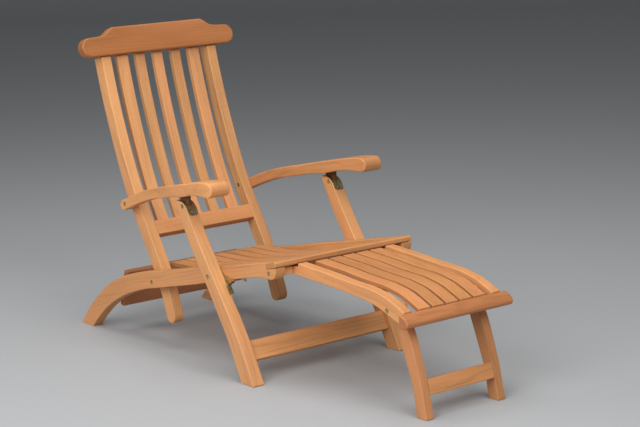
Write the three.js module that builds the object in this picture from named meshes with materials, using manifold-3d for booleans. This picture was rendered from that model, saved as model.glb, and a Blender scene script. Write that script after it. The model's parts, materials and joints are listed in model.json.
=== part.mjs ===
// Steamer deck chair: slatted seat and back, folding arms and front legs, hinged footrest.
// Millimetres. X runs across the chair, -Y towards the footrest, Z up from the floor.
import * as THREE from 'three';
import Module from 'manifold-3d';
import { mergeVertices } from 'three/addons/utils/BufferGeometryUtils.js';

// Eased edges of the timber, gaps, and how far a cut runs past its face.
const ease = 2;
const seamGap = 0.3;
const runningGap = 0.6;
const cutOverrun = 4;

// Seat frame: the side rails sweep down to the floor behind as rear legs.
const seatWidth = 520;
const railThickness = 36;
const railRun = 1057;
const railRise = 376;
const heelSetback = 785.3;
const railNoseRadius = 26;

// Front rail, lapped into the front ends of the side rails.
const frontRailDepth = 44;
const frontRailHeight = 18;
const frontRailNose = 6;

// Two boards between the rear legs.
const rearBoardHeight = 59.5;
const rearBoardThickness = 18;
const rearBoardGap = 4;
const rearBoardRun = 219.5;
const rearBoardProud = 20;
const rearBoardLeanDegrees = 15;

// Seat slats and the bearers under them.
const seatSlatCount = 7;
const seatSlatWidth = 45;
const seatSlatGap = 7.2;
const seatSlatThickness = 13;
const seatSlatRearRun = 413.5;
const seatSlatDip = 20;
const bearerWidth = 40;
const bearerThickness = 20;
const rearBearerRun = 520;
const middleBearerRun = 700;
const frontBearerRun = 975;

// Back.
const backPivotRun = 420.5;
const backPivotHeight = 20;
const backLeanDegrees = 24.6;
const stileThickness = 35.4;
const stileDepth = 45;
const stileLength = 742;
const stileBow = 34;
const armPivotAlong = 264.8;
const armPivotOffset = 29.3;
const headRailWidth = 589;
const headRailThickness = 34;
const headRailHeight = 89;
const headRailEndHeight = 62;
const headRailForward = 20;
const backRailHeight = 47;
const backRailThickness = 38;
const backRailAlong = 165.5;
const backSlatCount = 5;
const backSlatWidth = 34;
const backEdgeSlatWidth = 42;
const backSlatPitch = 69.5;
const backSlatThickness = 18;
const backSlatSetback = 9;
const backSlatFall = 16;
const backSlatDish = 4;

// Arms, with the tongue that the front leg's fork takes.
const armThickness = 36;
const armFlare = 33;
const armRearWidth = 34;
const armFrontWidth = 71;
const armEase = 5;
const armEndRadius = 17;
const armTail = 9;
const armReach = 184;
const armNoseLength = 24;
const armLegGap = 15.8;
const armCornerShare = 0.45;
const armNoseTaperShare = 0.12;
const tongueThickness = 10;
const tongueRadius = 11;
const tongueTail = 33;
const tongueGap = 0.8;

// Front legs and their stretcher.
const legPivotRun = 781.5;
const legPivotHeight = 21;
const legThickness = 40;
const legGap = 1.6;
const legHeight = 503;
const legRun = 316;
const legDepth = 61;
const legCorner = 22;
const legHeelCorner = 8;
const armPinDrop = 12.4;
const armPinSetback = 14;
const forkDepth = 28;
const legStretcherHeight = 61;
const legStretcherThickness = 22;
const legStretcherSetback = 15;
const legStretcherCentre = 99;

// Brass straps and stops on the front legs.
const strapThickness = 1.8;
const strapInset = 2;
const strapDrop = 16;
const strapScrewDrop = 31;
const strapScrewRadius = 4.2;
const strapScrewHeight = 0.8;
const stopSheet = 2.2;
const stopPlateReach = 8;
const stopShelfReach = 8;
const stopPlateDrop = 28;
const stopShelfDepth = 34;
const stopWebRise = 26;

// Footrest.
const restPivotSetback = 31.5;
const restPivotHeight = 18.3;
const hingeBlockDepth = 30;
const hingeBlockHeight = 23;
const restHalfWidth = 182;
const restRailThickness = 32;
const restRun = 491;
const restRise = 38;
const restLugRadius = 12;
const restShoulder = 36;
const restSlatCount = 5;
const restSlatWidth = 43;
const restSlatGap = 8.5;
const restSlatThickness = 13;
const restSlatStart = 46;
const endRailWidth = 400;
const endRailDepth = 36;
const endRailHeight = 41;
const restBearerWidth = 30;
const restBearerThickness = 18;
const restRearBearerStart = 90;
const restMiddleBearerSetback = 191;

// Footrest legs and their stretcher.
const restLegPivotSetback = 66.6;
const restLegPivotHeight = 12;
const restLegThickness = 28;
const restLegRun = 100;
const restLegDepth = 46;
const restStretcherHeight = 45;
const restStretcherThickness = 20;
const restStretcherCentre = 86.5;

// Brass bolts.
const boltHeadRadius = 6.75;
const boltHeadHeight = 2.5;
const boltShankRadius = 4;
const boltSlotWidth = 1.6;
const boltSlotDepth = 1.2;

// Steps along the curves and sides of the round pieces.
const shankSides = 12;
const headSides = 16;
const railSteps = 26;
const stileSteps = 14;
const slatSteps = 12;
const legSteps = 12;
const cornerSteps = 5;
const armSteps = 16;

// Top edge of a side rail: share of its run from the heel, share of its rise.
const railTopShares = [
  [0, 0.011], [0.022, 0.085], [0.046, 0.17], [0.076, 0.247], [0.12, 0.346], [0.17, 0.441],
  [0.217, 0.505], [0.265, 0.556], [0.331, 0.609], [0.412, 0.658], [0.502, 0.71],
  [0.599, 0.771], [0.753, 0.859], [0.918, 0.955], [1, 1],
];
// Under edge of a side rail, from the toe of the rear foot.
const railUnderShares = [
  [0.06, 0], [0.096, 0.098], [0.131, 0.181], [0.165, 0.249], [0.211, 0.322], [0.26, 0.386],
  [0.307, 0.434], [0.362, 0.481], [0.424, 0.52], [0.487, 0.561], [0.596, 0.63],
  [0.675, 0.684], [0.837, 0.795], [0.926, 0.848], [1, 0.852],
];
// Top of a seat slat: share of its length from the rear, height over the rail's top edge as a
// share of the dip.
const seatSlatShares = [
  [0, 0.85], [0.1, 0.42], [0.25, -0.35], [0.45, -0.85], [0.65, -0.8], [0.85, -0.35], [1, -0.03],
];
// Stile: share of its length from the pivot, bow to the rear as a share of the full bow.
const stileShares = [
  [-0.157, 0.15], [-0.05, -0.03], [0.06, 0.09], [0.166, 0.37], [0.271, 0.68], [0.375, 0.91],
  [0.48, 1], [0.585, 0.95], [0.69, 0.82], [0.795, 0.62], [0.9, 0.35], [1, 0],
];
// Upper edge of the head rail from its middle: share of half its width, share of its height.
const headRailShares = [
  [0.58, 1], [0.61, 0.96], [0.65, 0.87], [0.69, 0.78], [0.74, 0.73], [0.8, 0.71],
];
// Arm: share of its length from the pivot, rise of its middle line, thickness, flare, width.
const armShares = [
  [-0.05, -0.1, 0.94, 0, 0], [0, 0, 0.96, 0, 0], [0.121, 0.225, 0.97, 0.02, 0.05],
  [0.24, 0.411, 0.95, 0.09, 0.14], [0.333, 0.523, 0.95, 0.16, 0.24], [0.457, 0.643, 0.96, 0.29, 0.42],
  [0.571, 0.76, 0.99, 0.44, 0.6], [0.64, 0.815, 1.1, 0.53, 0.7], [0.72, 0.89, 1.06, 0.66, 0.82],
  [0.81, 0.985, 1.05, 0.8, 0.94], [0.887, 1.035, 1.14, 0.92, 1], [0.945, 1.045, 1.24, 0.99, 1],
  [1, 1.035, 1.22, 1, 0.97],
];
// Front leg: share of its height, run of its middle line, depth along Y.
const legShares = [
  [0, 0, 1], [0.109, 0.091, 0.99], [0.219, 0.184, 0.98], [0.352, 0.317, 0.97],
  [0.459, 0.437, 0.93], [0.587, 0.578, 0.91], [0.757, 0.766, 0.89], [0.875, 0.885, 0.84],
  [0.974, 0.975, 0.78], [1, 1, 0.78],
];
// Footrest rail: share of its run from the pivot, top edge as a share of its rise.
const restTopShares = [
  [0.07, 0.62], [0.11, 0.61], [0.226, 0.505], [0.346, 0.426], [0.473, 0.268], [0.591, 0.176],
  [0.72, 0.08], [0.776, -0.047], [0.839, -0.205], [0.919, -0.574], [1, -1.02],
];
const restUnderShares = [
  [0, -0.316], [0.055, -0.316], [0.13, -0.38], [0.379, -0.547], [0.635, -0.81], [0.745, -1.02],
  [0.806, -1.23], [0.874, -1.547], [0.906, -1.7], [1, -2.1],
];
// End rail of the footrest: shares of its depth and height from its rear top edge.
const endRailShares = [
  [0, 0], [0.45, -0.18], [0.78, -0.36], [0.95, -0.52], [1, -0.68], [0.92, -0.85], [0.68, -0.96],
  [0.3, -1], [0, -1],
];
// Footrest leg: share of the pivot's height, run of its middle line, depth along Y.
const restLegShares = [
  [0, 0, 0.9], [0.146, 0.09, 0.84], [0.29, 0.184, 0.84], [0.44, 0.33, 0.9], [0.586, 0.49, 0.96],
  [0.742, 0.67, 1], [0.9, 0.87, 0.92], [1, 1, 0.8],
];

const wasm = await Module();
wasm.setup();

const quarterTurn = Math.PI / 2;
const halfTurn = Math.PI;
const { degToRad } = THREE.MathUtils;

const teak = { color: 0xe0a878, roughness: 0.5, metalness: 0 };
const redTeak = { color: 0xb87446, roughness: 0.45, metalness: 0 };
const brass = { color: 0x9c8a4a, roughness: 0.35, metalness: 0.9 };

function at(x, y) {
  return new THREE.Vector2(x, y);
}

// Even steps from one value to another, both included.
function steps(from, to, count) {
  return Array.from({ length: count + 1 }, (_, i) => from + ((to - from) * i) / count);
}

// A smooth curve through the rows of a table whose first column is the station.
function through(table) {
  const places = table.map((row) => row[0]);
  const values = table.flatMap((row) => row.slice(1));
  const curve = new THREE.CubicInterpolant(places, values, table[0].length - 1);
  return (place) => Array.from(curve.evaluate(place));
}

function arc(centre, radius, start, end, count = cornerSteps) {
  return steps(start, end, count)
    .map((angle) => at(Math.cos(angle), Math.sin(angle)).multiplyScalar(radius).add(centre));
}

function rectangle(left, bottom, right, top) {
  return [at(left, bottom), at(right, bottom), at(right, top), at(left, top)];
}

// The line that runs beside another, to its left by a distance.
function beside(line, distance) {
  return line.map((point, i) => {
    const before = line[Math.max(i - 1, 0)];
    const after = line[Math.min(i + 1, line.length - 1)];
    const along = after.clone().sub(before).normalize();
    return at(point.x - along.y * distance, point.y + along.x * distance);
  });
}

// The outline between the lines at two distances beside a line.
function band(line, near, far) {
  return [...beside(line, near), ...beside(line, far).reverse()];
}

function toSolid(geometry) {
  const bare = geometry.clone();
  bare.deleteAttribute('normal');
  bare.deleteAttribute('uv');
  const merged = mergeVertices(bare);
  const vertProperties = merged.attributes.position.array;
  const triVerts = merged.index.array;
  return new wasm.Manifold(new wasm.Mesh({ numProp: 3, vertProperties, triVerts }));
}

function toGeometry(solid) {
  const mesh = solid.getMesh();
  const geometry = new THREE.BufferGeometry();
  geometry.setAttribute('position', new THREE.BufferAttribute(mesh.vertProperties, 3));
  geometry.setIndex(new THREE.BufferAttribute(mesh.triVerts, 1));
  geometry.computeVertexNormals();
  return geometry;
}

function join(...geometries) {
  return toGeometry(geometries.map(toSolid).reduce((whole, solid) => whole.add(solid)));
}

function cut(geometry, ...tools) {
  const whole = toSolid(geometry);
  return toGeometry(tools.map(toSolid).reduce((rest, tool) => rest.subtract(tool), whole));
}

// A board sawn to an outline, its thickness centred on the outline's plane, its edges eased.
function sawn(outline, thickness, edge = ease) {
  const geometry = new THREE.ExtrudeGeometry(new THREE.Shape(outline), {
    depth: thickness - 2 * edge,
    bevelThickness: edge,
    bevelSize: edge,
    bevelOffset: -edge,
    bevelSegments: 1,
  });
  return geometry.translate(0, 0, edge - thickness / 2);
}

// A sheet of an outline with square edges, its thickness centred on the outline's plane.
function sheet(outline, thickness) {
  const shape = new THREE.Shape(outline);
  const geometry = new THREE.ExtrudeGeometry(shape, { depth: thickness, bevelEnabled: false });
  return geometry.translate(0, 0, -thickness / 2);
}

// A round bar through the plane of an outline, between two levels.
function bar(centre, radius, from, to, sides) {
  const geometry = new THREE.CylinderGeometry(radius, radius, to - from, sides);
  geometry.rotateX(quarterTurn);
  return geometry.translate(centre.x, centre.y, (from + to) / 2);
}

// A bolt hole between two faces of a board, with a seat for the head in the faces listed.
function drill(geometry, centre, low, high, seats) {
  const seatRadius = boltHeadRadius + runningGap;
  const seatDepth = boltHeadHeight + seamGap;
  const hole = boltShankRadius + runningGap;
  const tools = [bar(centre, hole, low - cutOverrun, high + cutOverrun, shankSides)];
  if (seats.includes(-1)) {
    tools.push(bar(centre, seatRadius, low - cutOverrun, low + seatDepth, headSides));
  }
  if (seats.includes(1)) {
    tools.push(bar(centre, seatRadius, high - seatDepth, high + cutOverrun, headSides));
  }
  return cut(geometry, ...tools);
}

// A bolt with a slotted head at each end listed.
function boltShape(length, heads) {
  const middle = at(0, 0);
  const reach = boltHeadRadius + cutOverrun;
  const groove = rectangle(-reach, -boltSlotWidth / 2, reach, boltSlotWidth / 2);
  const parts = [bar(middle, boltShankRadius, -length / 2, length / 2, shankSides)];
  const grooves = [];
  for (const end of heads) {
    const face = (end * length) / 2;
    const neck = face - end * boltHeadHeight;
    parts.push(bar(middle, boltHeadRadius, Math.min(face, neck), Math.max(face, neck), headSides));
    grooves.push(sheet(groove, 2 * boltSlotDepth).translate(0, 0, face));
  }
  return cut(join(...parts), ...grooves);
}

function addPiece(parent, name, geometry, look = teak) {
  const mesh = new THREE.Mesh(geometry, new THREE.MeshStandardMaterial(look));
  mesh.name = name;
  parent.add(mesh);
  return mesh;
}

// A piece drawn in the side view (y, z), its thickness centred at x.
function addSidePiece(parent, name, geometry, x, look = teak) {
  const mesh = addPiece(parent, name, geometry, look);
  mesh.rotation.set(quarterTurn, quarterTurn, 0);
  mesh.position.x = x;
  return mesh;
}

function addBolt(parent, name, place, inner, outer, side, heads = [-1, 1]) {
  const geometry = boltShape(outer - inner, heads);
  const mesh = addSidePiece(parent, name, geometry, (side * (inner + outer)) / 2, brass);
  mesh.position.y = place.x;
  mesh.position.z = place.y;
}

// A straight cross piece between the sides, in its own place and tilt.
function addCrossPiece(parent, name, place, tilt, depth, height, width, look = teak) {
  const section = rectangle(-depth / 2, -height / 2, depth / 2, height / 2);
  const group = new THREE.Group();
  group.position.set(0, place.x, place.y);
  group.rotation.x = tilt;
  parent.add(group);
  addSidePiece(group, name, sawn(section, width), 0, look);
}

const sides = [['left', 1], ['right', -1]];
const railOuter = seatWidth / 2;
const railInner = railOuter - railThickness;
const stileOuter = railInner - runningGap;
const stileInner = stileOuter - stileThickness;
const legInner = railOuter + legGap;
const legOuter = legInner + legThickness;
const restInner = restHalfWidth - restRailThickness;
const restLegOuter = restInner - runningGap;
const restLegInner = restLegOuter - restLegThickness;

const railTopLine = through(railTopShares);
const railUnderLine = through(railUnderShares);
const frontRailRear = railRun - frontRailDepth;
const restPivotRun = railRun - restPivotSetback;

// Heights of the side rail's edges at a run from the heel, and the Y of that run.
function railTop(run) {
  return railTopLine(run / railRun)[0] * railRise;
}

function railUnder(run) {
  return railUnderLine(run / railRun)[0] * railRise;
}

function yOf(run) {
  return heelSetback - run;
}

function runOf(y) {
  return heelSetback - y;
}

const backPivot = at(yOf(backPivotRun), railUnder(backPivotRun) + backPivotHeight);
const legPivot = at(yOf(legPivotRun), railUnder(legPivotRun) + legPivotHeight);
const restPivot = at(yOf(restPivotRun), railUnder(restPivotRun) + restPivotHeight);
const frontSlope = Math.atan2(railTop(railRun) - railTop(frontRailRear), frontRailDepth);

function railOutline() {
  const toe = railUnderShares[0][0] * railRun;
  const noseRun = railRun - railNoseRadius;
  const lap = frontRailHeight + seamGap;
  const notchRun = frontRailRear - seamGap;
  const top = steps(0, notchRun, railSteps).map((run) => at(yOf(run), railTop(run)));
  const notch = [notchRun, railRun].map((run) => at(yOf(run), railTop(run) - lap));
  const noseCentre = at(yOf(noseRun), railUnder(noseRun) + railNoseRadius);
  const nose = arc(noseCentre, railNoseRadius, -halfTurn, -quarterTurn);
  const under = steps(noseRun, toe, railSteps).slice(1).map((run) => at(yOf(run), railUnder(run)));
  return [at(yOf(0) - ease, 0), ...top, ...notch, ...nose, ...under];
}

function sideRail(side) {
  const half = railThickness / 2;
  let geometry = sawn(railOutline(), railThickness);
  geometry = drill(geometry, backPivot, -half, half, [side]);
  geometry = drill(geometry, legPivot, -half, half, [-side]);
  return drill(geometry, restPivot, -half, half, [side]);
}

function frontRail() {
  const rear = at(yOf(frontRailRear), railTop(frontRailRear));
  const front = at(yOf(railRun), railTop(railRun));
  const centre = at(front.x + frontRailNose, front.y - frontRailNose);
  const low = at(centre.x, front.y - frontRailHeight + frontRailNose);
  return sawn([
    rear,
    ...arc(centre, frontRailNose, quarterTurn, halfTurn),
    ...arc(low, frontRailNose, halfTurn, halfTurn + quarterTurn),
    at(rear.x, rear.y - frontRailHeight),
  ], seatWidth);
}

function addRearBoards(seat) {
  const lean = degToRad(rearBoardLeanDegrees);
  const top = at(yOf(rearBoardRun), railTop(rearBoardRun) + rearBoardProud);
  const width = 2 * (railInner - seamGap);
  ['rear_board_upper', 'rear_board_lower'].forEach((name, i) => {
    const drop = rearBoardHeight / 2 + i * (rearBoardHeight + rearBoardGap);
    const place = at(top.x + drop * Math.sin(lean), top.y - drop * Math.cos(lean));
    addCrossPiece(seat, name, place, lean, rearBoardThickness, rearBoardHeight, width);
  });
}

const seatSlatLine = through(seatSlatShares);
const seatSlatEnd = frontRailRear - seamGap;

function seatSlatTop(run) {
  const share = (run - seatSlatRearRun) / (seatSlatEnd - seatSlatRearRun);
  return railTop(run) + seatSlatLine(share)[0] * seatSlatDip;
}

function seatSlat() {
  const top = steps(seatSlatRearRun, seatSlatEnd, slatSteps)
    .map((run) => at(yOf(run), seatSlatTop(run)));
  const under = top.map((point) => at(point.x, point.y - seatSlatThickness)).reverse();
  return sawn([...top, ...under], seatSlatWidth);
}

function addSeatBearers(seat) {
  const runs = { rear: rearBearerRun, middle: middleBearerRun, front: frontBearerRun };
  const width = 2 * (railInner - seamGap);
  for (const [which, run] of Object.entries(runs)) {
    const rise = seatSlatTop(run + bearerWidth / 2) - seatSlatTop(run - bearerWidth / 2);
    const slope = Math.atan2(rise, bearerWidth);
    const drop = seatSlatThickness + runningGap + bearerThickness / 2;
    const place = at(yOf(run) - drop * Math.sin(slope), seatSlatTop(run) - drop * Math.cos(slope));
    addCrossPiece(seat, `seat_bearer_${which}`, place, -slope, bearerWidth, bearerThickness, width);
  }
}

function addHingeBlock(seat, name, side) {
  const section = rectangle(-hingeBlockDepth / 2, -hingeBlockHeight / 2,
    hingeBlockDepth / 2, hingeBlockHeight / 2);
  const outer = railInner - seamGap;
  const inner = restHalfWidth + runningGap;
  const thickness = outer - inner;
  const block = drill(sawn(section, thickness), at(0, 0), -thickness / 2, thickness / 2, []);
  const group = new THREE.Group();
  group.position.set(0, restPivot.x, restPivot.y);
  group.rotation.x = -frontSlope;
  seat.add(group);
  addSidePiece(group, name, block, (side * (inner + outer)) / 2);
}

function buildSeat() {
  const seat = new THREE.Group();
  for (const [label, side] of sides) {
    const x = (side * (railOuter + railInner)) / 2;
    addSidePiece(seat, `side_rail_${label}`, sideRail(side), x);
    addHingeBlock(seat, `hinge_block_${label}`, side);
    addBolt(seat, `back_pivot_bolt_${label}`, backPivot, stileInner, railOuter, side);
    addBolt(seat, `leg_pivot_bolt_${label}`, legPivot, railInner, legOuter, side);
    addBolt(seat, `footrest_pivot_bolt_${label}`, restPivot, restInner, railOuter, side);
  }
  addSidePiece(seat, 'front_rail', frontRail(), 0);
  addRearBoards(seat);
  addSeatBearers(seat);
  for (let i = 0; i < seatSlatCount; i += 1) {
    const x = (i - (seatSlatCount - 1) / 2) * (seatSlatWidth + seatSlatGap);
    addSidePiece(seat, `seat_slat_${i + 1}`, seatSlat(), x);
  }
  return seat;
}

const stileLine = through(stileShares);

// A point on the stile's middle line, in the back's own frame.
function stileAt(along) {
  return at(stileLine(along / stileLength)[0] * stileBow, along);
}

// The forward tilt of the stile's middle line against the back's own frame.
function stileTilt(along) {
  const change = stileAt(along).sub(stileAt(along - stileDepth));
  return Math.atan2(-change.x, change.y);
}

function stile(side) {
  const foot = stileShares[0][0] * stileLength;
  const half = stileThickness / 2;
  const middle = steps(foot, stileLength, stileSteps).map(stileAt);
  const [low] = middle;
  const tilt = stileTilt(0);
  const round = arc(low, stileDepth / 2, halfTurn + tilt, 2 * halfTurn + tilt, 2 * cornerSteps);
  const outline = [
    ...round,
    ...beside(middle, -stileDepth / 2).slice(1),
    ...beside(middle, stileDepth / 2).slice(1).reverse(),
  ];
  const geometry = drill(sawn(outline, stileThickness), at(0, 0), -half, half, [-side]);
  return drill(geometry, at(armPivotOffset, armPivotAlong), -half, half, [-side]);
}

// A back slat at a share of the way from the middle of the back to its edge. The slats are dished
// across the back and lie further behind the stiles' front faces towards the seat.
function backSlat(width, share) {
  const start = backRailAlong + backRailHeight / 2 + runningGap;
  const dish = backSlatDish * (1 - share * share);
  const middle = steps(start, stileLength, stileSteps).map((along) => {
    const tilt = stileTilt(along);
    const shift = dish + (1 - along / stileLength) * (backSlatFall + dish);
    return stileAt(along).add(at(Math.cos(tilt), Math.sin(tilt)).multiplyScalar(shift));
  });
  const front = stileDepth / 2 - backSlatSetback;
  return sawn(band(middle, front, front - backSlatThickness), width);
}

function headRail() {
  const half = headRailWidth / 2;
  const radius = headRailEndHeight / 2;
  const shoulder = headRailShares.map(([x, y]) => at(x * half, y * headRailHeight));
  const end = arc(at(half - radius, radius), radius, -quarterTurn, quarterTurn, 2 * cornerSteps);
  const right = [...end, ...shoulder.reverse()];
  const left = right.map((point) => at(-point.x, point.y)).reverse();
  return sawn([...right, ...left], headRailThickness, 2 * ease);
}

function buildBack() {
  const back = new THREE.Group();
  back.position.set(0, backPivot.x, backPivot.y);
  back.rotation.x = -degToRad(backLeanDegrees);
  const armOuter = stileOuter + runningGap + armRearWidth;
  for (const [label, side] of sides) {
    addSidePiece(back, `stile_${label}`, stile(side), (side * (stileOuter + stileInner)) / 2);
    const place = at(armPivotOffset, armPivotAlong);
    addBolt(back, `arm_pivot_bolt_${label}`, place, stileInner, armOuter, side);
  }
  const railPlace = stileAt(backRailAlong);
  railPlace.x += (backRailThickness - stileDepth) / 2;
  addCrossPiece(back, 'back_lower_rail', railPlace, stileTilt(backRailAlong), backRailThickness,
    backRailHeight, 2 * (stileInner - seamGap));
  const middleSlat = (backSlatCount - 1) / 2;
  for (let i = 0; i < backSlatCount; i += 1) {
    const share = (i - middleSlat) / middleSlat;
    const width = Math.abs(share) === 1 ? backEdgeSlatWidth : backSlatWidth;
    addSidePiece(back, `back_slat_${i + 1}`, backSlat(width, share), share * middleSlat * backSlatPitch);
  }
  const head = new THREE.Group();
  const top = stileAt(stileLength);
  head.position.set(0, top.x, top.y);
  head.rotation.x = stileTilt(stileLength);
  back.add(head);
  const mesh = addPiece(head, 'head_rail', headRail(), redTeak);
  mesh.rotation.x = quarterTurn;
  mesh.position.set(0, -headRailForward, seamGap);
  return back;
}

const legLine = through(legShares);
const legFootY = legPivot.x - legLine(legPivot.y / legHeight)[0] * legRun;

// The front leg's edges at a height: -1 for the front, 1 for the rear, 0 for its middle.
function legEdge(height, edge) {
  const [run, depth] = legLine(height / legHeight);
  return at(legFootY + run * legRun + (edge * depth * legDepth) / 2, height);
}

// The way from the leg's front edge round its top corner to the rear of its top.
function legTopLine() {
  const corner = legEdge(legHeight, -1);
  const start = legEdge(legHeight - legCorner, -1);
  const end = at(corner.x + legCorner, legHeight);
  const bend = new THREE.QuadraticBezierCurve(start, corner, end).getPoints(cornerSteps);
  const low = legHeight - legCorner - strapDrop;
  const front = steps(low, legHeight - legCorner, cornerSteps).slice(0, -1)
    .map((height) => legEdge(height, -1));
  return [...front, ...bend, at(legEdge(legHeight, 1).x - legHeelCorner, legHeight)];
}

const armPin = legEdge(legHeight - armPinDrop, -1);
armPin.x += armPinSetback;
const forkWidth = tongueThickness + 2 * tongueGap;

function fork(depth, height) {
  const outline = rectangle(-depth, legHeight - forkDepth, depth, legHeight + height);
  return sheet(outline, forkWidth).translate(armPin.x, 0, 0);
}

function frontLeg(side) {
  const half = legThickness / 2;
  const rear = steps(legHeight - legHeelCorner, 0, legSteps).map((height) => legEdge(height, 1));
  const low = legHeight - legCorner - strapDrop;
  const front = steps(0, low, legSteps).slice(0, -1).map((height) => legEdge(height, -1));
  const outline = [...rear, ...front, ...legTopLine()];
  let geometry = cut(sawn(outline, legThickness), fork(legDepth, cutOverrun));
  geometry = drill(geometry, legPivot, -half, half, [side]);
  const faces = side > 0 ? [forkWidth / 2, half] : [-half, -forkWidth / 2];
  return drill(geometry, armPin, ...faces, [side]);
}

function strap() {
  const line = legTopLine();
  const width = legThickness - 2 * strapInset;
  const leaf = sheet(band(line, seamGap, seamGap + strapThickness), width);
  const slot = rectangle(-tongueRadius - tongueGap, 0, legDepth, armPinDrop + cutOverrun);
  const opening = sheet(slot, forkWidth).translate(armPin.x, armPin.y, 0);
  const place = legEdge(legHeight - strapScrewDrop, -1);
  const ahead = legEdge(legHeight - strapScrewDrop - legCorner, -1);
  const tilt = Math.atan2(place.y - ahead.y, place.x - ahead.x);
  const length = strapThickness + strapScrewHeight;
  const screw = new THREE.CylinderGeometry(strapScrewRadius, strapScrewRadius, length, shankSides);
  screw.translate(0, seamGap + length / 2, 0);
  screw.rotateZ(tilt);
  screw.translate(place.x, place.y, 0);
  return cut(join(leaf, screw), opening);
}

function stop(side) {
  const top = (y) => railUnder(runOf(y)) - runningGap;
  const edge = legEdge(legPivot.y - legPivotHeight, -1);
  const low = edge.y - stopPlateDrop;
  const line = steps(low, edge.y, cornerSteps).map((height) => legEdge(height, -1));
  const face = band(line, seamGap, seamGap + stopSheet);
  const inner = railOuter - stopShelfReach;
  const outer = legInner + stopPlateReach;
  const plate = sheet(face, outer - inner).translate(0, 0, (side * (inner + outer)) / 2);
  const rear = edge.x - seamGap;
  const tip = rear - stopShelfDepth;
  const shelfOutline = [
    at(rear, top(rear)), at(tip, top(tip)), at(tip, top(tip) - stopSheet),
    at(rear, top(rear) - stopSheet),
  ];
  const shelfOuter = legInner - seamGap;
  const shelf = sheet(shelfOutline, shelfOuter - inner);
  shelf.translate(0, 0, (side * (inner + shelfOuter)) / 2);
  const apex = legEdge(legPivot.y - legPivotHeight + stopWebRise + stopSheet, -1);
  const webOutline = [
    at(rear, edge.y - stopSheet), at(apex.x - seamGap, apex.y), at(tip, top(tip)),
    at(tip, top(tip) - stopSheet),
  ];
  const webInner = railOuter + runningGap;
  const web = sheet(webOutline, shelfOuter - webInner);
  web.translate(0, 0, (side * (webInner + shelfOuter)) / 2);
  return join(plate, shelf, web);
}

function buildFrontLegs() {
  const legs = new THREE.Group();
  for (const [label, side] of sides) {
    const x = (side * (legInner + legOuter)) / 2;
    addSidePiece(legs, `front_leg_${label}`, frontLeg(side), x);
    addSidePiece(legs, `leg_strap_${label}`, strap(), x, brass);
    addSidePiece(legs, `leg_stop_${label}`, stop(side), 0, brass);
    const cheek = (legThickness - forkWidth) / 2;
    const pinInner = legOuter - cheek + runningGap;
    addBolt(legs, `arm_pin_${label}`, armPin, pinInner, legOuter, side, [side]);
  }
  const front = legEdge(legStretcherCentre, -1);
  const above = legEdge(legStretcherCentre + legStretcherHeight / 2, -1);
  const lean = Math.atan2(above.x - front.x, above.y - front.y);
  const inward = legStretcherSetback + legStretcherThickness / 2;
  const place = at(front.x + inward * Math.cos(lean), front.y - inward * Math.sin(lean));
  addCrossPiece(legs, 'front_leg_stretcher', place, -lean, legStretcherThickness,
    legStretcherHeight, 2 * (legInner - seamGap));
  return legs;
}

const backTurn = -degToRad(backLeanDegrees);
const armPivot = at(armPivotOffset, armPivotAlong).rotateAround(at(0, 0), backTurn).add(backPivot);
const armPinRun = armPivot.x - armPin.x;
const armLength = armPinRun + armReach;
const armLine = through(armShares);
const [pinRiseShare, pinThicknessShare] = armLine(armPinRun / armLength);
const armUnderPin = legHeight + armLegGap - armPivot.y;
const armRise = (armUnderPin + (pinThicknessShare * armThickness) / 2) / pinRiseShare;

// The arm's section at a distance forward of its pivot: a rectangle with rounded corners.
function armSection(forward) {
  const place = Math.max(forward, -armTail) / armLength;
  const [rise, thickness, flare, width] = armLine(place);
  const noseStart = armLength - armNoseLength;
  const past = Math.max(forward - noseStart, 0) / armNoseLength;
  const short = Math.max(-forward - armTail, 0) / armEndRadius;
  const swell = Math.sqrt(1 - past * past) * Math.sqrt(1 - short * short);
  const height = thickness * armThickness * swell;
  const broad = armRearWidth + width * (armFrontWidth - armRearWidth);
  const trim = broad * armNoseTaperShare * (1 - Math.sqrt(1 - past * past));
  const inner = stileOuter + runningGap + flare * armFlare + trim;
  const outer = inner + broad - 2 * trim;
  const corner = Math.min(armEase, height * armCornerShare);
  const low = rise * armRise - height / 2;
  const high = low + height;
  const corners = [
    [outer - corner, low + corner, -quarterTurn], [outer - corner, high - corner, 0],
    [inner + corner, high - corner, quarterTurn], [inner + corner, low + corner, halfTurn],
  ];
  return corners.flatMap(([x, z, start]) => arc(at(x, z), corner, start, start + quarterTurn, 2))
    .map((point) => new THREE.Vector3(-forward, point.y, point.x));
}

// A closed skin over a row of sections that have the same number of points.
function loft(sections) {
  const count = sections[0].length;
  const points = sections.flat();
  const faces = [];
  for (let i = 0; i < sections.length - 1; i += 1) {
    for (let j = 0; j < count; j += 1) {
      const k = (j + 1) % count;
      const [a, b] = [i * count + j, i * count + k];
      faces.push(a, b, a + count, b, b + count, a + count);
    }
  }
  const last = points.length - count;
  for (let j = 1; j < count - 1; j += 1) {
    faces.push(0, j + 1, j, last, last + j, last + j + 1);
  }
  const geometry = new THREE.BufferGeometry().setFromPoints(points);
  geometry.setIndex(faces);
  geometry.computeVertexNormals();
  return geometry;
}

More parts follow.
